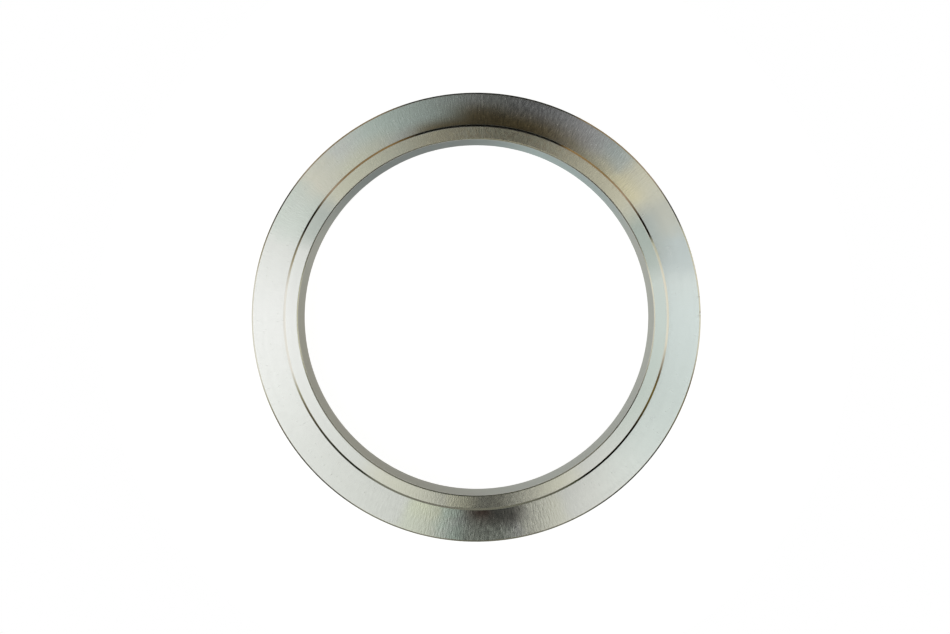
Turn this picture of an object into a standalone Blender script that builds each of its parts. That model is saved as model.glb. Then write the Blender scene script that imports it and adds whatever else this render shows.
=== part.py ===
"""V-band weld flange for an exhaust tube: one steel ring turned all over.

The ring stands on its weld end, with its axis on Z and the origin at the centre of that end. From the top
down it has a raised pilot that centres it in the mating flange, a flat sealing face, a rim whose back is
tapered for the clamp, and a plain neck that the tube is welded to. One bore runs right through.

Run it with: blender --background --python part.py
"""

import math

import bpy

MM = 0.001

# Bore, sized for a tube of 76.2 mm outer and 73.0 mm inner diameter
BORE_DIAMETER = 73.0 * MM

# Widths across the section, each measured square to the axis
NECK_WALL = 2.5 * MM
PILOT_WALL = 3.1 * MM
SEALING_FACE_WIDTH = 6.8 * MM

# Lengths along the axis
NECK_LENGTH = 5.3 * MM
RIM_LAND = 2.5 * MM
PILOT_HEIGHT = 2.5 * MM

# Slope of the rim's back, which the clamp pulls on, from square to the axis
CLAMP_TAPER = math.radians(20.0)

# Edge breaks, each cut at 45 degrees and measured along one side
PILOT_CHAMFER = 0.5 * MM
MOUTH_CHAMFER = 0.25 * MM
RIM_CHAMFER = 0.3 * MM
WELD_CHAMFER = 0.8 * MM
WELD_BORE_CHAMFER = 0.25 * MM

# Fillets in the two inner corners, left by the nose of the turning tool
FACE_CORNER_RADIUS = 0.2 * MM
NECK_ROOT_RADIUS = 1.2 * MM

# Facets of the round shapes
TURN_STEPS = 144
CORNER_STEPS = 3
ROOT_STEPS = 4
SMOOTH_BELOW = math.radians(30.0)
MERGE_DISTANCE = 0.01 * MM

# Clear zinc plate over turned steel
PLATE_COLOUR = (0.66, 0.68, 0.65, 1.0)
PLATE_ROUGHNESS = 0.32

NAME = "weld_flange"

# Radii and heights that follow from the sizes above
bore_radius = BORE_DIAMETER / 2
neck_radius = bore_radius + NECK_WALL
pilot_radius = bore_radius + PILOT_WALL
rim_radius = pilot_radius + SEALING_FACE_WIDTH
rim_back = NECK_LENGTH + (rim_radius - neck_radius) * math.tan(CLAMP_TAPER)
face_height = rim_back + RIM_LAND
top_height = face_height + PILOT_HEIGHT


def clear_scene():
    """Empties the scene, so that only the flange is left in it."""
    for old in list(bpy.data.objects):
        bpy.data.objects.remove(old)


def arc(centre, radius, start, end, steps):
    """Points (r, z) along an arc about centre, both ends included. Angles are from +r towards +z."""
    turn = (end - start) / steps
    return [
        (
            centre[0] + radius * math.cos(start + turn * k),
            centre[1] + radius * math.sin(start + turn * k),
        )
        for k in range(steps + 1)
    ]


def pilot_section():
    """The pilot's outer side, from its top edge down to the fillet on the sealing face."""
    corner = (pilot_radius + FACE_CORNER_RADIUS, face_height + FACE_CORNER_RADIUS)
    return [
        (pilot_radius - PILOT_CHAMFER, top_height),
        (pilot_radius, top_height - PILOT_CHAMFER),
        *arc(corner, FACE_CORNER_RADIUS, math.pi, 1.5 * math.pi, CORNER_STEPS),
    ]


def rim_section():
    """The rim, from the outer edge of the sealing face round to the start of the clamp taper."""
    return [
        (rim_radius - RIM_CHAMFER, face_height),
        (rim_radius, face_height - RIM_CHAMFER),
        (rim_radius, rim_back + RIM_CHAMFER),
        (rim_radius - RIM_CHAMFER, rim_back - RIM_CHAMFER * math.tan(CLAMP_TAPER)),
    ]


def neck_section():
    """The fillet between the clamp taper and the neck, then the neck down to the weld end."""
    rise = math.tan(CLAMP_TAPER) - 1 / math.cos(CLAMP_TAPER)
    root = (neck_radius + NECK_ROOT_RADIUS, NECK_LENGTH + NECK_ROOT_RADIUS * rise)
    return [
        *arc(root, NECK_ROOT_RADIUS, math.pi / 2 + CLAMP_TAPER, math.pi, ROOT_STEPS),
        (neck_radius, WELD_CHAMFER),
        (neck_radius - WELD_CHAMFER, 0.0),
    ]


def bore_section():
    """The bore, from its edge at the weld end up to its mouth in the pilot."""
    return [
        (bore_radius + WELD_BORE_CHAMFER, 0.0),
        (bore_radius, WELD_BORE_CHAMFER),
        (bore_radius, top_height - MOUTH_CHAMFER),
        (bore_radius + MOUTH_CHAMFER, top_height),
    ]


def plated_steel():
    """Turned steel with a clear zinc plate."""
    material = bpy.data.materials.new("zinc_plated_steel")
    material.use_nodes = True
    shader = material.node_tree.nodes["Principled BSDF"]
    shader.inputs["Base Color"].default_value = PLATE_COLOUR
    shader.inputs["Metallic"].default_value = 1.0
    shader.inputs["Roughness"].default_value = PLATE_ROUGHNESS
    return material


def turned_ring(name, section, material):
    """A closed section (r, z) turned once round the Z axis. It runs down its outer side and up the bore."""
    points = [(r, 0.0, z) for r, z in section]
    edges = [(k, (k + 1) % len(points)) for k in range(len(points))]
    mesh = bpy.data.meshes.new(name)
    mesh.from_pydata(points, edges, [])
    ring = bpy.data.objects.new(name, mesh)
    mesh.materials.append(material)

    turn = ring.modifiers.new("turn", "SCREW")
    turn.axis = "Z"
    turn.angle = 2 * math.pi
    turn.steps = TURN_STEPS
    turn.render_steps = TURN_STEPS
    turn.use_merge_vertices = True
    turn.merge_threshold = MERGE_DISTANCE

    edges_kept = ring.modifiers.new("crisp edges", "EDGE_SPLIT")
    edges_kept.split_angle = SMOOTH_BELOW
    return ring


def main():
    clear_scene()
    collection = bpy.data.collections.new(NAME)
    bpy.context.scene.collection.children.link(collection)
    section = pilot_section() + rim_section() + neck_section() + bore_section()
    collection.objects.link(turned_ring(NAME, section, plated_steel()))


main()
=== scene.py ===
"""Weld flange: the visual model, its zinc plate finish and a light tent to see it in.

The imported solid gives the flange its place, its rim radius and its height. One finely turned ring stands for
it, with rounded edge breaks and a procedural zinc plate on each of its surfaces. The stage is a pale floor
inside a light tent, with a camera overhead.
"""

import math

import bmesh
import bpy
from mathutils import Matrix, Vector


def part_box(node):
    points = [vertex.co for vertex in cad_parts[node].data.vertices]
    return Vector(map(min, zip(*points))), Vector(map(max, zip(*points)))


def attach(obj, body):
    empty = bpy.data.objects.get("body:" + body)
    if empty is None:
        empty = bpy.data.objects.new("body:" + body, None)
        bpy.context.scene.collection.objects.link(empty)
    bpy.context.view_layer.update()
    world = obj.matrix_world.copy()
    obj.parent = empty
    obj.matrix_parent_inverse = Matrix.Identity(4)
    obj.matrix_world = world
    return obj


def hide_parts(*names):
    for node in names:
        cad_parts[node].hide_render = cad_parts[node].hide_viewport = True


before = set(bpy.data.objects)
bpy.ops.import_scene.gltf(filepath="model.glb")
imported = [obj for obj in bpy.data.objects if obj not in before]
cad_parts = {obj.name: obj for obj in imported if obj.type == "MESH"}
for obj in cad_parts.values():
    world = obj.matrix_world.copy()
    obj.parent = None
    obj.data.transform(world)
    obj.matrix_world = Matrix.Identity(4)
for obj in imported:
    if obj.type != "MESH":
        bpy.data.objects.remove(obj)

bl_info = {
    "name": "Weld flange",
    "version": (1, 0, 0),
    "blender": (4, 5, 0),
    "location": "View3D > Sidebar > Weld flange",
    "description": "A zinc-plated weld flange in a small light tent",
    "category": "Object",
}

NODE = "weld_flange"
BODY = "root"
RING = "turned_flange_ring"

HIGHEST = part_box(NODE)[1]
RIM_RADIUS = HIGHEST.x
TOP_HEIGHT = HIGHEST.z

# Azimuths are in degrees everywhere: 0 is +X, and they grow towards +Y.

# Kinds of turned surface, in the order of the ring's material slots
FACED, PILOT_END, BORED, BROKEN_EDGE, RIM_EDGE, BACK = range(6)

# Facets of the ring, and the distance from a rounded corner to the loop that holds it
TURN_STEPS = 360
ROUND_STEPS = 4
SUPPORT_GAP = 0.00003
ANGLE_DIGITS = 6

# Handling nicks in the rim's upper edge: azimuth, half-length and depth
NICKS = (
    (0.9, 0.00022, 0.00018),
    (5.6, 0.00018, 0.00012),
)
NICK_REACH = 0.0005
NICK_HOLD = 0.0001
NICK_STEPS = 6

# Marks of the satin finish: their width round the ring, and their length across it
SATIN_MARK = (0.00031, 0.0011)
PILOT_MARK = (0.00026, 0.0006)
TOOL_GROOVE = (0.02, 0.00012)
TURNING_BAND = (0.04, 0.0009)
SPECKLE_SHARE = 0.06
BAND_SHARE = 0.03

# The patches of tint and painted light wander by this share of their radius, in waves of this size
TINT_WANDER = 0.015
TINT_WAVE = 0.005
TINT_FADE = 1.5

# Where a patch of tint and painted light lies across the sealing face, from 0 at the pilot to 1 at the rim:
# gone there, full here
ALL_OVER = (-2.0, -1.0)
NEAR_PILOT = (0.75, 0.05)
OVER_HALF = (0.85, 0.15)
NEAR_RIM = (0.0, 0.5)

# How far the tool's grooves stretch a highlight, and the turn that lays them round the axis
GROOVE_STRETCH = 0.9
GROOVE_TURN = 0.25
NOISE_DETAIL = 2.0

# Patches of colour, partly passivate tint and partly painted shade and painted reflection. On the face, the
# dark ones beside the pilot are painted shade where the pilot's wall shades the face. Each is azimuth,
# half-width in degrees, place across the face, colour
FACE_TINTS_AND_PAINTED_LIGHT = (
    (-12, 32, ALL_OVER, (0.765, 0.83, 0.82)),
    (22, 9, ALL_OVER, (0.635, 0.695, 0.70)),
    (31, 7, ALL_OVER, (0.66, 0.67, 0.61)),
    (25, 7, NEAR_PILOT, (0.57, 0.62, 0.605)),
    (42, 8, ALL_OVER, (0.81, 0.79, 0.66)),
    (44, 8, NEAR_PILOT, (0.93, 0.87, 0.63)),
    (53, 7, NEAR_RIM, (0.63, 0.70, 0.70)),
    (54, 6, NEAR_PILOT, (0.75, 0.72, 0.56)),
    (67, 12, NEAR_RIM, (0.74, 0.74, 0.77)),
    (84, 22, OVER_HALF, (0.42, 0.33, 0.18)),
    (94, 10, OVER_HALF, (0.31, 0.25, 0.15)),
    (109, 13, NEAR_RIM, (0.78, 0.87, 0.83)),
    (130, 13, NEAR_PILOT, (0.88, 0.87, 0.74)),
    (140, 6, ALL_OVER, (0.86, 0.84, 0.75)),
    (150, 7, ALL_OVER, (0.74, 0.79, 0.75)),
    (256, 6, ALL_OVER, (0.79, 0.82, 0.72)),
    (258, 6, NEAR_PILOT, (0.86, 0.89, 0.71)),
    (264, 5, ALL_OVER, (0.75, 0.87, 0.79)),
    (273, 6, ALL_OVER, (0.79, 0.84, 0.76)),
    (276, 9, NEAR_PILOT, (0.24, 0.18, 0.155)),
    (281, 5, OVER_HALF, (0.27, 0.27, 0.25)),
    (289, 6, ALL_OVER, (0.86, 0.86, 0.77)),
)
# Patches on the pilot's end: partly passivate tint, partly painted light and shade that copy the reflections
# it shows
PILOT_TINTS_AND_PAINTED_LIGHT = (
    (-10, 26, ALL_OVER, (0.72, 0.79, 0.75)),
    (25, 10, ALL_OVER, (0.54, 0.61, 0.57)),
    (48, 13, ALL_OVER, (0.83, 0.80, 0.64)),
    (77, 23, ALL_OVER, (1.0, 0.95, 0.75)),
    (105, 10, ALL_OVER, (0.84, 0.78, 0.61)),
    (126, 17, ALL_OVER, (0.81, 0.79, 0.66)),
    (149, 7, ALL_OVER, (0.60, 0.64, 0.61)),
    (250, 14, ALL_OVER, (0.82, 0.81, 0.71)),
    (267, 5, ALL_OVER, (1.0, 0.98, 0.79)),
    (276, 6, ALL_OVER, (0.65, 0.64, 0.55)),
    (291, 11, ALL_OVER, (0.88, 0.87, 0.75)),
)
# Patches on the bore: painted shade and painted reflection, darker and lighter round the bore
BORE_PAINTED_SHADE_AND_REFLECTION = (
    (68, 31, ALL_OVER, (0.49, 0.57, 0.56)),
    (114, 31, ALL_OVER, (0.295, 0.32, 0.31)),
    (212, 56, ALL_OVER, (0.44, 0.43, 0.375)),
)

# Small stains on the pilot's end: azimuth, half-width, size of a stain round the ring and across it, colour
PILOT_STAINS = (82, 20, (0.0011, 0.0007), (0.93, 0.85, 0.65))
STAIN_LEVELS = (0.46, 0.62)

# Light on the tent's ceiling: azimuth and colour
CEILING_LIGHT = (
    (-180, (1.17, 1.165, 1.165)),
    (-160, (1.11, 1.12, 1.10)),
    (-140, (0.96, 0.975, 0.94)),
    (-115, (0.86, 0.88, 0.83)),
    (-75, (1.00, 1.00, 0.95)),
    (-45, (1.00, 1.01, 0.96)),
    (-25, (0.82, 0.84, 0.80)),
    (0, (0.925, 0.95, 0.935)),
    (42, (0.875, 0.87, 0.82)),
    (70, (0.71, 0.72, 0.69)),
    (120, (0.56, 0.59, 0.56)),
    (140, (0.67, 0.685, 0.645)),
    (165, (1.02, 1.03, 1.005)),
    (180, (1.17, 1.165, 1.165)),
)

# What the outward edge breaks reflect from just below the horizon: azimuth and colour
LOW_BAND_LIGHT = (
    (-164, (1.0, 1.0, 1.0)),
    (-157, (0.42, 0.42, 0.31)),
    (-152, (0.17, 0.15, 0.10)),
    (-143, (0.05, 0.05, 0.035)),
    (-127, (0.015, 0.02, 0.015)),
    (-122, (0.23, 0.24, 0.20)),
    (-100, (0.21, 0.215, 0.18)),
    (-64, (0.15, 0.155, 0.12)),
    (-59, (0.07, 0.08, 0.05)),
    (-56, (0.0, 0.0, 0.0)),
    (-35, (0.0, 0.0, 0.0)),
    (-23, (0.20, 0.15, 0.04)),
    (-18, (0.14, 0.10, 0.05)),
    (-8, (0.94, 0.93, 0.84)),
    (12, (0.93, 0.91, 0.81)),
    (22.5, (0.60, 0.62, 0.50)),
    (25, (0.0, 0.0, 0.0)),
    (31, (0.0, 0.0, 0.0)),
    (39, (0.49, 0.38, 0.25)),
    (48, (0.33, 0.23, 0.10)),
    (61, (0.34, 0.22, 0.09)),
    (64.5, (0.0, 0.0, 0.0)),
    (108, (0.0, 0.0, 0.0)),
    (117, (0.30, 0.20, 0.09)),
    (133, (0.30, 0.21, 0.11)),
    (138, (0.46, 0.37, 0.27)),
    (142, (0.34, 0.28, 0.20)),
    (146, (0.02, 0.02, 0.01)),
    (153, (0.01, 0.01, 0.01)),
    (163, (0.42, 0.38, 0.27)),
    (172, (1.0, 1.0, 1.0)),
)

# What the bore's upper edge break reflects from across the ring, just above the horizon
HIGH_BAND_LIGHT = (
    (-180, (0.80, 0.80, 0.69)),
    (-168, (0.90, 0.91, 0.78)),
    (-156, (0.18, 0.19, 0.15)),
    (-138, (0.06, 0.06, 0.05)),
    (-128, (0.06, 0.06, 0.05)),
    (-118, (0.18, 0.18, 0.14)),
    (-92, (0.22, 0.22, 0.16)),
    (-66, (0.10, 0.10, 0.08)),
    (-56, (0.04, 0.04, 0.03)),
    (-34, (0.04, 0.04, 0.03)),
    (-20, (0.12, 0.12, 0.09)),
    (-9, (0.57, 0.57, 0.44)),
    (10, (0.62, 0.62, 0.48)),
    (22, (0.14, 0.14, 0.10)),
    (58, (0.15, 0.15, 0.11)),
    (90, (0.05, 0.05, 0.04)),
    (120, (0.15, 0.15, 0.11)),
    (134, (0.16, 0.16, 0.12)),
    (144, (0.05, 0.05, 0.04)),
    (154, (0.05, 0.05, 0.04)),
    (172, (0.72, 0.72, 0.62)),
    (180, (0.80, 0.80, 0.69)),
)

# Elevations in degrees between which each tier of the tent takes over from the one below it
LOW_BAND_FROM = (-28, -20)
HIGH_BAND_FROM = (2, 6)
CEILING_FROM = (22, 45)

# The dark slot in the ceiling: its middle line, the half-width of its core and how far it fades to either
# side, above and below the axis. Each is its value on the axis, and how it grows along Y.
SLOT_MIDDLE = (0.0083, 0.057)
SLOT_CORE = (0.0075, -0.047)
SLOT_REACH = (0.028, 0.50)
SLOT_REACH_BELOW = (0.028, 0.04)
SLOT_LEAST = 0.002

# The light left in the slot, near the axis and further out
SLOT_LIGHT_AT = (0.058, 0.105)
SLOT_LIGHT = (0.02, 0.15)

# The rest of the stage
SENSOR_WIDTH = 36.0
NEAREST_SEEN = 0.01
FLOOR_HEIGHT = -0.0001
STAGE_SEGMENTS = 96
TENT_RINGS = 48

WHITE = (1.0, 1.0, 1.0)
LEVEL = (1.0, 1.0, 0.0)

# A colour Mix node's inputs and its output, by number
FIRST, SECOND, RESULT = 6, 7, 2


class FlangeSizes(bpy.types.PropertyGroup):
    """Real sizes of the flange's section."""

    bore_radius: bpy.props.FloatProperty(
        name="Bore radius",
        description="Radius of the straight bore",
        default=0.0365,
        subtype="DISTANCE",
    )
    pilot_radius: bpy.props.FloatProperty(
        name="Pilot radius",
        description="Radius of the raised pilot's outer side",
        default=0.0396,
        subtype="DISTANCE",
    )
    neck_radius: bpy.props.FloatProperty(
        name="Neck radius",
        description="Radius of the weld neck's outer side",
        default=0.039,
        subtype="DISTANCE",
    )
    neck_length: bpy.props.FloatProperty(
        name="Neck length",
        description="From the weld end up to the clamp taper",
        default=0.0053,
        subtype="DISTANCE",
    )
    pilot_height: bpy.props.FloatProperty(
        name="Pilot height",
        description="From the sealing face up to the pilot's end",
        default=0.0025,
        subtype="DISTANCE",
    )
    rim_land: bpy.props.FloatProperty(
        name="Rim land",
        description="Height of the rim's straight side",
        default=0.0025,
        subtype="DISTANCE",
    )
    pilot_chamfer: bpy.props.FloatProperty(
        name="Pilot chamfer",
        description="Edge break round the pilot",
        default=0.0005,
        subtype="DISTANCE",
    )
    rim_chamfer: bpy.props.FloatProperty(
        name="Rim chamfer",
        description="Edge breaks above and below the rim's side",
        default=0.0003,
        subtype="DISTANCE",
    )
    bore_chamfer: bpy.props.FloatProperty(
        name="Bore chamfer",
        description="Edge breaks at both ends of the bore",
        default=0.00025,
        subtype="DISTANCE",
    )
    weld_chamfer: bpy.props.FloatProperty(
        name="Weld chamfer",
        description="Chamfer for the weld round the neck",
        default=0.0008,
        subtype="DISTANCE",
    )
    face_fillet: bpy.props.FloatProperty(
        name="Face fillet",
        description="Radius of the inner corner between pilot and sealing face",
        default=0.0002,
        subtype="DISTANCE",
    )
    neck_fillet: bpy.props.FloatProperty(
        name="Neck fillet",
        description="Radius of the inner corner between taper and neck",
        default=0.0012,
        subtype="DISTANCE",
    )
    edge_rounding: bpy.props.FloatProperty(
        name="Edge rounding",
        description="Radius that tumbling and plating leave on every edge",
        default=0.00005,
        subtype="DISTANCE",
    )


class ZincFinish(bpy.types.PropertyGroup):
    """Colours and gloss of the zinc plate."""

    plate_colour: bpy.props.FloatVectorProperty(
        name="Plate",
        description="Clear zinc on the sealing face",
        default=(0.81, 0.82, 0.80),
        subtype="COLOR",
    )
    pilot_colour: bpy.props.FloatVectorProperty(
        name="Pilot",
        description="Clear zinc on the pilot's end",
        default=(0.81, 0.82, 0.80),
        subtype="COLOR",
    )
    # Partly the bore's duller zinc, partly painted shade: darkened so the bore shows grey though it reflects a
    # white floor
    bore_colour_and_painted_shade: bpy.props.FloatVectorProperty(
        name="Bore",
        description="Duller zinc inside the bore",
        default=(0.54, 0.555, 0.515),
        subtype="COLOR",
    )
    edge_colour: bpy.props.FloatVectorProperty(
        name="Edges",
        description="Zinc on the edge breaks",
        default=(0.78, 0.76, 0.70),
        subtype="COLOR",
    )
    rim_edge_colour: bpy.props.FloatVectorProperty(
        name="Rim edges",
        description="Zinc on the rim's edge breaks",
        default=(0.66, 0.64, 0.56),
        subtype="COLOR",
    )
    back_colour: bpy.props.FloatVectorProperty(
        name="Back",
        description="Zinc on the rim, taper and neck",
        default=(0.72, 0.73, 0.71),
        subtype="COLOR",
    )
    face_roughness: bpy.props.FloatProperty(
        name="Face roughness",
        description="Of the sealing face",
        default=0.22,
        subtype="FACTOR",
    )
    pilot_roughness: bpy.props.FloatProperty(
        name="Pilot roughness",
        description="Of the pilot's end",
        default=0.23,
        subtype="FACTOR",
    )
    bore_roughness: bpy.props.FloatProperty(
        name="Bore roughness",
        description="Of the bore",
        default=0.38,
        subtype="FACTOR",
    )
    edge_roughness: bpy.props.FloatProperty(
        name="Edge roughness",
        description="Of the edge breaks",
        default=0.12,
        subtype="FACTOR",
    )
    back_roughness: bpy.props.FloatProperty(
        name="Back roughness",
        description="Of the rim, the taper and the neck",
        default=0.30,
        subtype="FACTOR",
    )
    gloss_spread: bpy.props.FloatProperty(
        name="Gloss spread",
        description="How much roughness varies from mark to mark",
        default=0.12,
        subtype="FACTOR",
    )
    pilot_spread: bpy.props.FloatProperty(
        name="Pilot gloss spread",
        description="The same, on the pilot's end",
        default=0.07,
        subtype="FACTOR",
    )
    # Dims the bore's grazing reflections: partly its duller zinc, partly painted shade
    bore_gloss_and_painted_shade: bpy.props.FloatProperty(
        name="Bore gloss",
        description="Gloss of the bore along its length",
        default=0.31,
        subtype="FACTOR",
    )
    satin_depth: bpy.props.FloatProperty(
        name="Satin depth",
        description="Depth of the satin marks on the face",
        default=0.000007,
        subtype="DISTANCE",
    )
    pilot_depth: bpy.props.FloatProperty(
        name="Pilot satin depth",
        description="Depth of the marks on the pilot",
        default=0.000006,
        subtype="DISTANCE",
    )
    back_depth: bpy.props.FloatProperty(
        name="Back satin depth",
        description="Depth of the marks on the back",
        default=0.000003,
        subtype="DISTANCE",
    )
    groove_depth: bpy.props.FloatProperty(
        name="Groove depth",
        description="Depth of the tool's grooves",
        default=0.000001,
        subtype="DISTANCE",
    )


class StudioSetup(bpy.types.PropertyGroup):
    """Camera, floor and tent."""

    camera_distance: bpy.props.FloatProperty(
        name="Camera distance",
        description="From the pilot's end to the camera",
        default=0.338,
        subtype="DISTANCE",
    )
    camera_offset: bpy.props.FloatVectorProperty(
        name="Camera offset",
        description="How far the camera stands off the flange's axis",
        default=(0.0027, 0.0020),
        size=2,
        subtype="XYZ_LENGTH",
    )
    aim_offset: bpy.props.FloatVectorProperty(
        name="Aim offset",
        description="How far off the axis the camera looks",
        default=(-0.00017, 0.0001),
        size=2,
        subtype="XYZ_LENGTH",
    )
    view_width: bpy.props.FloatProperty(
        name="View width",
        description="Width of the picture at the pilot's end",
        default=0.1946,
        subtype="DISTANCE",
    )
    floor_radius: bpy.props.FloatProperty(
        name="Floor radius",
        description="Of the pale round floor",
        default=0.08,
        subtype="DISTANCE",
    )
    floor_colour: bpy.props.FloatProperty(
        name="Floor grey",
        description="Of the floor's own surface",
        default=0.35,
        subtype="FACTOR",
    )
    floor_glow: bpy.props.FloatProperty(
        name="Floor glow",
        description="Lifts the floor to white where nothing shades it",
        default=0.87,
    )
    tent_radius: bpy.props.FloatProperty(
        name="Tent radius",
        description="Of the light tent",
        default=0.22,
        subtype="DISTANCE",
    )


def rounded_corner(before, corner, after, radius):
    """An arc that rounds the corner of a section, with a support point on each side of it."""
    into = (corner - before).normalized()
    out = (after - corner).normalized()
    turn = math.atan2(into.x * out.y - into.y * out.x, into.dot(out))
    setback = radius * math.tan(abs(turn) / 2)
    start = corner - into * setback
    side = math.copysign(radius, turn)
    centre = start + Vector((-into.y, into.x)) * side
    first = math.atan2(start.y - centre.y, start.x - centre.x)
    angles = [first + turn * k / ROUND_STEPS for k in range(ROUND_STEPS + 1)]
    arc = [centre + Vector((math.cos(a), math.sin(a))) * radius for a in angles]
    return [arc[0] - into * SUPPORT_GAP, *arc, arc[-1] + out * SUPPORT_GAP]


def section_corners(sizes):
    """Corners of the section: radius, height, the kind of surface that leads on, and the rounding."""
    top = TOP_HEIGHT
    face = top - sizes.pilot_height
    back = face - sizes.rim_land
    slope = (back - sizes.neck_length) / (RIM_RADIUS - sizes.neck_radius)
    bore = sizes.bore_radius
    pilot = sizes.pilot_radius
    neck = sizes.neck_radius
    rim_edge = sizes.rim_chamfer
    bore_edge = sizes.bore_chamfer
    crisp = sizes.edge_rounding
    return [
        (bore + bore_edge, top, PILOT_END, crisp),
        (pilot - sizes.pilot_chamfer, top, BROKEN_EDGE, crisp),
        (pilot, top - sizes.pilot_chamfer, BACK, crisp),
        (pilot, face, FACED, sizes.face_fillet),
        (RIM_RADIUS - rim_edge - NICK_REACH - NICK_HOLD, face, FACED, 0.0),
        (RIM_RADIUS - rim_edge - NICK_REACH, face, FACED, 0.0),
        (RIM_RADIUS - rim_edge, face, RIM_EDGE, crisp),
        (RIM_RADIUS, face - rim_edge, BACK, crisp),
        (RIM_RADIUS, face - rim_edge - NICK_REACH, BACK, 0.0),
        (RIM_RADIUS, face - rim_edge - NICK_REACH - NICK_HOLD, BACK, 0.0),
        (RIM_RADIUS, back + rim_edge, RIM_EDGE, crisp),
        (RIM_RADIUS - rim_edge, back - rim_edge * slope, BACK, crisp),
        (neck, sizes.neck_length, BACK, sizes.neck_fillet),
        (neck, sizes.weld_chamfer, BROKEN_EDGE, crisp),
        (neck - sizes.weld_chamfer, 0.0, BACK, crisp),
        (bore + bore_edge, 0.0, BROKEN_EDGE, crisp),
        (bore, bore_edge, BORED, crisp),
        (bore, top - bore_edge, BROKEN_EDGE, crisp),
    ]


def flange_section(sizes):
    """Points (radius, height) round the section, each with the kind of the surface that leads on from it."""
    corners = section_corners(sizes)
    section = []
    for k, (radius, height, kind, rounding) in enumerate(corners):
        if not rounding:
            section.append((Vector((radius, height)), kind))
            continue
        before = Vector(corners[k - 1][:2])
        after = Vector(corners[(k + 1) % len(corners)][:2])
        arc = rounded_corner(before, Vector((radius, height)), after, rounding)
        arc_kind = kind if rounding == sizes.edge_rounding else BACK
        section += [(point, arc_kind) for point in arc[:-1]]
        section.append((arc[-1], kind))
    return section


def turn_angles():
    """Angles of the ring's rows in radians: even steps, and fine ones across each nick."""
    angles = {round(2 * math.pi * step / TURN_STEPS, ANGLE_DIGITS) for step in range(TURN_STEPS)}
    for azimuth, half_length, _ in NICKS:
        reach = half_length / RIM_RADIUS
        for step in range(-NICK_STEPS, NICK_STEPS + 1):
            angle = math.radians(azimuth) + reach * step / NICK_STEPS
            angles.add(round(angle % (2 * math.pi), ANGLE_DIGITS))
    return sorted(angles)


def nicked(point, angle, edge):
    """A point of the section, pushed in and down where a nick reaches it. edge is the rim's upper corner."""
    depth = 0.0
    for azimuth, half_length, deepest in NICKS:
        aside = (angle - math.radians(azimuth)) * RIM_RADIUS / half_length
        along = max(0.0, 1.0 - aside * aside)
        near = max(0.0, 1.0 - (point - edge).length / NICK_REACH)
        depth += deepest * along * near
    return point - Vector((depth, depth))


def turned_mesh(name, section, edge):
    """A closed section turned once round the Z axis, with the kind of each surface as its material."""
    mesh = bpy.data.meshes.new(name)
    shape = bmesh.new()
    rows = []
    for angle in turn_angles():
        points = [nicked(point, angle, edge) for point, _ in section]
        rows.append([shape.verts.new((p.x * math.cos(angle), p.x * math.sin(angle), p.y)) for p in points])
    for step, row in enumerate(rows):
        after = rows[(step + 1) % len(rows)]
        for k, (_, kind) in enumerate(section):
            up = (k + 1) % len(section)
            face = shape.faces.new((row[k], row[up], after[up], after[k]))
            face.material_index = kind
            face.smooth = True
    bmesh.ops.recalc_face_normals(shape, faces=shape.faces)
    shape.to_mesh(mesh)
    shape.free()
    return mesh


def put(tree, kind, **settings):
    """A new node with these settings."""
    made = tree.nodes.new(kind)
    for name, value in settings.items():
        setattr(made, name, value)
    return made


def wire(tree, source, target, out=0, into=0):
    """Links one node's output to another's input, and gives the second node."""
    tree.links.new(source.outputs[out], target.inputs[into])
    return target


def maths(tree, operation, *values):
    """A Math node. Each value is a node, whose first output is taken, a socket or a number."""
    made = put(tree, "ShaderNodeMath", operation=operation)
    for slot, value in zip(made.inputs, values):
        if isinstance(value, bpy.types.Node):
            value = value.outputs[0]
        if isinstance(value, bpy.types.NodeSocket):
            tree.links.new(value, slot)
        else:
            slot.default_value = value
    return made


def eased(tree, value, low, high, to_low=0.0, to_high=1.0):
    """A socket's value, eased from to_low at low to to_high at high."""
    spread = put(tree, "ShaderNodeMapRange", interpolation_type="SMOOTHSTEP")
    spread.inputs["From Min"].default_value = low
    spread.inputs["From Max"].default_value = high
    spread.inputs["To Min"].default_value = to_low
    spread.inputs["To Max"].default_value = to_high
    tree.links.new(value, spread.inputs[0])
    return spread


def spread_round(tree, value, middle, half_width):
    """A socket's value from 0 to 1, spread evenly about the middle."""
    spread = put(tree, "ShaderNodeMapRange")
    spread.inputs["To Min"].default_value = middle - half_width
    spread.inputs["To Max"].default_value = middle + half_width
    tree.links.new(value, spread.inputs[0])
    return spread


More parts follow.
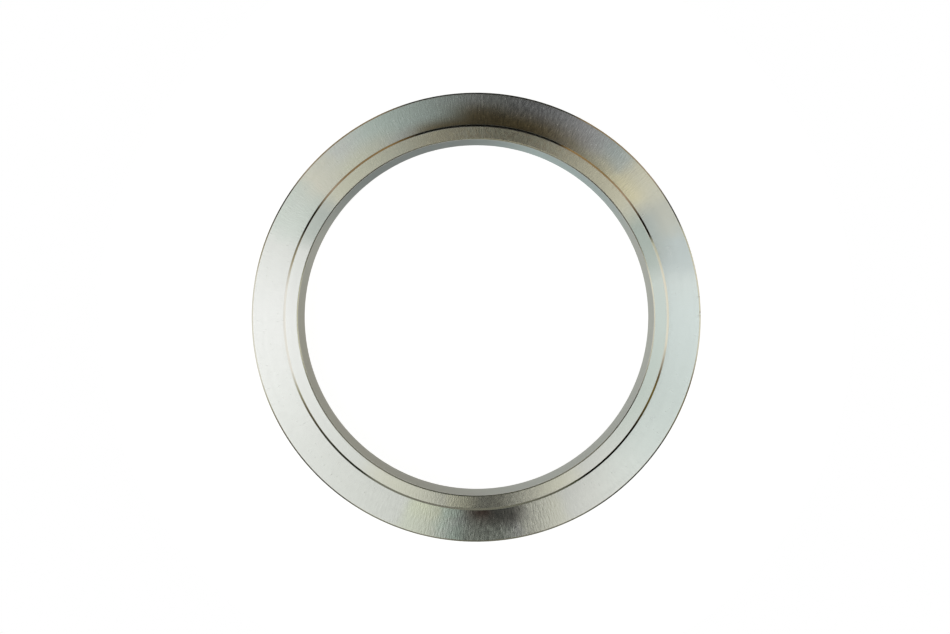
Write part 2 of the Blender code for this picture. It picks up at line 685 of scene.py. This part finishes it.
class TurnedPlace:
    """Sockets that say where a point of the ring is."""

    def __init__(self, tree, pilot_radius):
        self.tree = tree
        self.place = put(tree, "ShaderNodeTexCoord").outputs["Object"]
        parts = put(tree, "ShaderNodeSeparateXYZ")
        tree.links.new(self.place, parts.inputs[0])
        flat = put(tree, "ShaderNodeVectorMath", operation="MULTIPLY")
        flat.inputs[1].default_value = LEVEL
        tree.links.new(self.place, flat.inputs[0])
        self.outward = wire(tree, flat, put(tree, "ShaderNodeVectorMath", operation="NORMALIZE")).outputs[0]
        radius = wire(tree, flat, put(tree, "ShaderNodeVectorMath", operation="LENGTH")).outputs["Value"]
        self.along = maths(tree, "SUBTRACT", radius, parts.outputs["Z"]).outputs[0]
        from_pilot = maths(tree, "SUBTRACT", radius, pilot_radius)
        self.across = maths(tree, "DIVIDE", from_pilot, RIM_RADIUS - pilot_radius).outputs[0]
        self.wandering = self.wander()

    def wander(self):
        """The outward direction, shifted a little from place to place."""
        tree = self.tree
        waves = put(tree, "ShaderNodeTexNoise")
        waves.inputs["Scale"].default_value = 1.0 / TINT_WAVE
        tree.links.new(self.place, waves.inputs["Vector"])
        shift = put(tree, "ShaderNodeVectorMath", operation="MULTIPLY_ADD")
        tree.links.new(waves.outputs["Color"], shift.inputs[0])
        shift.inputs[1].default_value = (TINT_WANDER,) * 3
        shift.inputs[2].default_value = (-TINT_WANDER / 2,) * 3
        moved = put(tree, "ShaderNodeVectorMath", operation="ADD")
        tree.links.new(self.outward, moved.inputs[0])
        return wire(tree, shift, moved, into=1).outputs[0]

    def noise(self, mark):
        """Noise whose grain has one size round the ring and another along its section, both in metres."""
        tree = self.tree
        width, length = mark
        around = put(tree, "ShaderNodeVectorMath", operation="SCALE")
        around.inputs["Scale"].default_value = RIM_RADIUS / width
        tree.links.new(self.outward, around.inputs[0])
        lift = put(tree, "ShaderNodeCombineXYZ")
        wire(tree, maths(tree, "DIVIDE", self.along, length), lift, into=2)
        both = put(tree, "ShaderNodeVectorMath", operation="ADD")
        wire(tree, around, both)
        wire(tree, lift, both, into=1)
        noise = put(tree, "ShaderNodeTexNoise")
        noise.inputs["Scale"].default_value = 1.0
        noise.inputs["Detail"].default_value = NOISE_DETAIL
        return wire(tree, both, noise)

    def tint_share(self, azimuth, half_width, across):
        """A soft patch about an azimuth, which comes in across the face."""
        tree = self.tree
        facing = put(tree, "ShaderNodeVectorMath", operation="DOT_PRODUCT")
        angle = math.radians(azimuth)
        facing.inputs[1].default_value = (math.cos(angle), math.sin(angle), 0.0)
        tree.links.new(self.wandering, facing.inputs[0])
        edge = math.cos(math.radians(half_width * TINT_FADE))
        around = eased(tree, facing.outputs["Value"], edge, 1.0)
        return maths(tree, "MULTIPLY", around, eased(tree, self.across, *across))


def colour_in(tree, colour, slot):
    """Gives an input its colour. The colour is a plain one, or a Mix node whose result is linked."""
    if isinstance(colour, bpy.types.Node):
        tree.links.new(colour.outputs[RESULT], slot)
    else:
        slot.default_value = (*colour, 1.0)


def mixed(tree, share, base, tint):
    """base where share is 0, and tint where it is 1. Each is a colour or a Mix node."""
    mix = put(tree, "ShaderNodeMix", data_type="RGBA")
    wire(tree, share, mix)
    colour_in(tree, base, mix.inputs[FIRST])
    colour_in(tree, tint, mix.inputs[SECOND])
    return mix


def bumped(tree, height, depth, under=None):
    """A Bump node of that depth in metres, on top of another if one is given."""
    bump = put(tree, "ShaderNodeBump")
    bump.inputs["Distance"].default_value = depth
    wire(tree, height, bump, into="Height")
    if under:
        wire(tree, under, bump, into="Normal")
    return bump


def shaded(tree, colours, noise, share):
    """A colour or a Mix node's colours, made a little lighter and darker by noise."""
    shade = put(tree, "ShaderNodeMix", data_type="RGBA", blend_type="MULTIPLY")
    shade.inputs[0].default_value = 1.0
    colour_in(tree, colours, shade.inputs[FIRST])
    wire(tree, spread_round(tree, noise.outputs[0], 1.0, share), shade, into=SECOND)
    return shade


def plate_colours_and_painted_light(turned, colour, marks, tints_and_painted_light, stains):
    """The zinc's colour: patches that are partly the passivate's tints and partly painted shade and painted
    reflection, stains, soft turning bands and the finish's marks.
    """
    tree = turned.tree
    plate = colour
    for azimuth, half_width, across, tint in tints_and_painted_light:
        plate = mixed(tree, turned.tint_share(azimuth, half_width, across), plate, tint)
    if stains:
        azimuth, half_width, size, tint = stains
        spots = eased(tree, turned.noise(size).outputs[0], *STAIN_LEVELS)
        patch = turned.tint_share(azimuth, half_width, ALL_OVER)
        share = maths(tree, "MULTIPLY", spots, patch)
        plate = mixed(tree, share, plate, tint)
    banded = shaded(tree, plate, turned.noise(TURNING_BAND), BAND_SHARE)
    return shaded(tree, banded, marks, SPECKLE_SHARE)


def zinc_material(
    name, colour, roughness, sizes, finish, mark=SATIN_MARK,
    depth=0.0, spread=0.0, gloss=1.0, tints_and_painted_light=(), stains=(),
):
    """Zinc plate on a turned surface, whose fine grooves run round the axis."""
    material = bpy.data.materials.new(name)
    material.use_nodes = True
    tree = material.node_tree
    shader = tree.nodes["Principled BSDF"]
    shader.inputs["Metallic"].default_value = 1.0
    shader.inputs["Roughness"].default_value = roughness
    shader.inputs["Anisotropic"].default_value = GROOVE_STRETCH
    shader.inputs["Anisotropic Rotation"].default_value = GROOVE_TURN
    shader.inputs["Specular Tint"].default_value = (gloss, gloss, gloss, 1.0)

    turned = TurnedPlace(tree, sizes.pilot_radius)
    marks = turned.noise(mark)
    # The base colour carries painted shade and painted reflections along with the zinc's tints
    colour_in(tree, plate_colours_and_painted_light(turned, colour, marks, tints_and_painted_light, stains), shader.inputs["Base Color"])
    if spread:
        wire(tree, spread_round(tree, marks.outputs[0], roughness, spread), shader, into="Roughness")
    relief = bumped(tree, turned.noise(TOOL_GROOVE), finish.groove_depth)
    if depth:
        relief = bumped(tree, marks, depth, relief)
    wire(tree, relief, shader, into="Normal")
    tangent = put(tree, "ShaderNodeTangent", direction_type="RADIAL", axis="Z")
    wire(tree, tangent, shader, into="Tangent")
    return material


def ring_materials(sizes, finish):
    """The zinc on each kind of surface, in the order of the kinds."""
    faced = zinc_material(
        "zinc_faced", finish.plate_colour, finish.face_roughness, sizes, finish, depth=finish.satin_depth,
        spread=finish.gloss_spread, tints_and_painted_light=FACE_TINTS_AND_PAINTED_LIGHT,
    )
    pilot_end = zinc_material(
        "zinc_pilot_end", finish.pilot_colour, finish.pilot_roughness, sizes, finish, PILOT_MARK,
        finish.pilot_depth, finish.pilot_spread, tints_and_painted_light=PILOT_TINTS_AND_PAINTED_LIGHT, stains=PILOT_STAINS,
    )
    bored = zinc_material(
        "zinc_bored", finish.bore_colour_and_painted_shade, finish.bore_roughness, sizes, finish, depth=finish.groove_depth,
        gloss=finish.bore_gloss_and_painted_shade, tints_and_painted_light=BORE_PAINTED_SHADE_AND_REFLECTION,
    )
    broken_edge = zinc_material("zinc_edge_break", finish.edge_colour, finish.edge_roughness, sizes, finish)
    rim_edge = zinc_material("zinc_rim_edge", finish.rim_edge_colour, finish.edge_roughness, sizes, finish)
    back = zinc_material(
        "zinc_turned_back", finish.back_colour, finish.back_roughness, sizes, finish, depth=finish.back_depth
    )
    return (faced, pilot_end, bored, broken_edge, rim_edge, back)


class OBJECT_OT_turned_flange(bpy.types.Operator):
    """Build the turned flange ring and give it its zinc plate"""

    bl_idname = "object.turned_flange"
    bl_label = "Turned flange"

    def execute(self, context):
        sizes = context.scene.flange_sizes
        rim_edge = Vector((RIM_RADIUS, TOP_HEIGHT - sizes.pilot_height))
        mesh = turned_mesh(RING, flange_section(sizes), rim_edge)
        for material in ring_materials(sizes, context.scene.zinc_finish):
            mesh.materials.append(material)
        ring = bpy.data.objects.new(RING, mesh)
        context.scene.collection.objects.link(ring)
        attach(ring, BODY)
        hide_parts(NODE)
        return {"FINISHED"}


def light_round_the_axis(tree, place, light):
    """A colour ramp by azimuth."""
    sweep = put(tree, "ShaderNodeTexGradient", gradient_type="RADIAL")
    tree.links.new(place.outputs["Object"], sweep.inputs["Vector"])
    ramp = put(tree, "ShaderNodeValToRGB")
    stops = ramp.color_ramp.elements
    while len(stops) > 1:
        stops.remove(stops[-1])
    for k, (azimuth, colour) in enumerate(light):
        share = azimuth / 360 + 0.5
        stop = stops[0] if k == 0 else stops.new(share)
        stop.position = share
        stop.color = (*colour, 1.0)
    return wire(tree, sweep, ramp)


def along_y(tree, parts, line):
    """A value that grows along Y. line is its value on the axis, and its growth."""
    on_axis, growth = line
    return maths(tree, "MULTIPLY_ADD", parts.outputs["Y"], growth, on_axis)


def dark_slot(tree, place, parts):
    """The share of the ceiling's light that is left at each place, with the slot dark."""
    from_middle = maths(tree, "SUBTRACT", parts.outputs["X"], along_y(tree, parts, SLOT_MIDDLE))
    aside = maths(tree, "ABSOLUTE", from_middle)
    core = maths(tree, "MAXIMUM", along_y(tree, parts, SLOT_CORE), 0.0)
    past_core = maths(tree, "SUBTRACT", aside, core)
    reach = maths(tree, "MAXIMUM", along_y(tree, parts, SLOT_REACH), along_y(tree, parts, SLOT_REACH_BELOW))
    fade = maths(tree, "MAXIMUM", maths(tree, "SUBTRACT", reach, core), SLOT_LEAST)
    outside = maths(tree, "DIVIDE", past_core, fade)
    outside.use_clamp = True
    flat = put(tree, "ShaderNodeVectorMath", operation="MULTIPLY")
    flat.inputs[1].default_value = LEVEL
    tree.links.new(place.outputs["Object"], flat.inputs[0])
    off_axis = wire(tree, flat, put(tree, "ShaderNodeVectorMath", operation="LENGTH"))
    inside = eased(tree, off_axis.outputs["Value"], *SLOT_LIGHT_AT, *SLOT_LIGHT)
    return maths(tree, "MAXIMUM", outside, inside)


def tent_material(radius):
    """A glowing tent: a white base, two banded rings at the horizon and a ceiling with a dark slot."""
    material = bpy.data.materials.new("light_tent")
    material.use_nodes = True
    tree = material.node_tree
    tree.nodes.clear()
    place = put(tree, "ShaderNodeTexCoord")
    parts = put(tree, "ShaderNodeSeparateXYZ")
    tree.links.new(place.outputs["Object"], parts.inputs[0])

    ceiling = put(tree, "ShaderNodeVectorMath", operation="MULTIPLY")
    wire(tree, light_round_the_axis(tree, place, CEILING_LIGHT), ceiling)
    wire(tree, dark_slot(tree, place, parts), ceiling, into=1)
    tier = WHITE
    for between, light in (
        (LOW_BAND_FROM, light_round_the_axis(tree, place, LOW_BAND_LIGHT)),
        (HIGH_BAND_FROM, light_round_the_axis(tree, place, HIGH_BAND_LIGHT)),
        (CEILING_FROM, ceiling),
    ):
        heights = [radius * math.sin(math.radians(elevation)) for elevation in between]
        step = put(tree, "ShaderNodeMix", data_type="RGBA")
        wire(tree, eased(tree, parts.outputs["Z"], *heights), step)
        colour_in(tree, tier, step.inputs[FIRST])
        wire(tree, light, step, into=SECOND)
        tier = step
    glow = put(tree, "ShaderNodeEmission")
    colour_in(tree, tier, glow.inputs["Color"])
    wire(tree, glow, put(tree, "ShaderNodeOutputMaterial"))
    return material


def floor_material(setup):
    """A pale floor that the camera and reflections see lifted to white where nothing shades it."""
    material = bpy.data.materials.new("pale_floor")
    material.use_nodes = True
    tree = material.node_tree
    tree.nodes.clear()
    card = put(tree, "ShaderNodeBsdfDiffuse")
    card.inputs["Color"].default_value = (*(setup.floor_colour,) * 3, 1.0)
    glow = put(tree, "ShaderNodeEmission")
    glow.inputs["Strength"].default_value = setup.floor_glow
    lit = put(tree, "ShaderNodeAddShader")
    wire(tree, card, lit)
    wire(tree, glow, lit, into=1)
    ray = put(tree, "ShaderNodeLightPath")
    seen = maths(tree, "MAXIMUM", ray.outputs["Is Camera Ray"], ray.outputs["Is Glossy Ray"])
    shown = maths(tree, "MAXIMUM", seen, ray.outputs["Is Transmission Ray"])
    choice = put(tree, "ShaderNodeMixShader")
    wire(tree, shown, choice)
    wire(tree, card, choice, into=1)
    wire(tree, lit, choice, into=2)
    wire(tree, choice, put(tree, "ShaderNodeOutputMaterial"))
    return material


def stage_object(name, shape, material):
    """An object of the stage, which isn't part of the flange."""
    mesh = bpy.data.meshes.new(name)
    shape.to_mesh(mesh)
    shape.free()
    mesh.materials.append(material)
    made = bpy.data.objects.new(name, mesh)
    bpy.context.scene.collection.objects.link(made)
    return made


def overhead_camera(scene, setup):
    """A camera high over the flange, a little off its axis."""
    lens = bpy.data.cameras.new("camera")
    lens.sensor_width = SENSOR_WIDTH
    lens.lens = lens.sensor_width * setup.camera_distance / setup.view_width
    lens.clip_start = NEAREST_SEEN
    camera = bpy.data.objects.new("camera", lens)
    scene.collection.objects.link(camera)
    offset = Vector(setup.camera_offset)
    lean = (Vector(setup.aim_offset) - offset) / setup.camera_distance
    camera.location = (*offset, TOP_HEIGHT + setup.camera_distance)
    camera.rotation_euler = (math.atan(lean.y), -math.atan(lean.x), 0.0)
    scene.camera = camera


class SCENE_OT_flange_stage(bpy.types.Operator):
    """Build the floor, the light tent, the world and the camera"""

    bl_idname = "scene.flange_stage"
    bl_label = "Stage"

    def execute(self, context):
        scene = context.scene
        setup = scene.flange_studio

        floor = bmesh.new()
        bmesh.ops.create_circle(floor, cap_ends=True, segments=STAGE_SEGMENTS, radius=setup.floor_radius)
        stage_object("floor", floor, floor_material(setup)).location.z = FLOOR_HEIGHT

        tent = bmesh.new()
        bmesh.ops.create_uvsphere(
            tent, u_segments=STAGE_SEGMENTS, v_segments=TENT_RINGS, radius=setup.tent_radius
        )
        shell = stage_object("light_tent", tent, tent_material(setup.tent_radius))
        shell.visible_camera = False

        world = bpy.data.worlds.new("studio")
        world.use_nodes = True
        world.node_tree.nodes["Background"].inputs["Color"].default_value = (*WHITE, 1.0)
        scene.world = world

        overhead_camera(scene, setup)
        scene.view_settings.view_transform = "Standard"
        return {"FINISHED"}


class VIEW3D_PT_weld_flange(bpy.types.Panel):
    """Sizes, finish and stage of the weld flange"""

    bl_idname = "VIEW3D_PT_weld_flange"
    bl_label = "Weld flange"
    bl_space_type = "VIEW_3D"
    bl_region_type = "UI"
    bl_category = "Weld flange"

    def draw(self, context):
        scene = context.scene
        for group, operator in (
            (scene.flange_sizes, None),
            (scene.zinc_finish, OBJECT_OT_turned_flange.bl_idname),
            (scene.flange_studio, SCENE_OT_flange_stage.bl_idname),
        ):
            box = self.layout.box()
            for name in group.__annotations__:
                box.prop(group, name)
            if operator:
                box.operator(operator)


GROUPS = {
    "flange_sizes": FlangeSizes,
    "zinc_finish": ZincFinish,
    "flange_studio": StudioSetup,
}
CLASSES = (*GROUPS.values(), OBJECT_OT_turned_flange, SCENE_OT_flange_stage, VIEW3D_PT_weld_flange)


def register():
    for each in CLASSES:
        bpy.utils.register_class(each)
    for name, group in GROUPS.items():
        setattr(bpy.types.Scene, name, bpy.props.PointerProperty(type=group))


def unregister():
    for name in GROUPS:
        delattr(bpy.types.Scene, name)
    for each in reversed(CLASSES):
        bpy.utils.unregister_class(each)


def main():
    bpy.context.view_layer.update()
    register()
    bpy.ops.object.turned_flange()
    bpy.ops.scene.flange_stage()


if __name__ == "__main__":
    main()
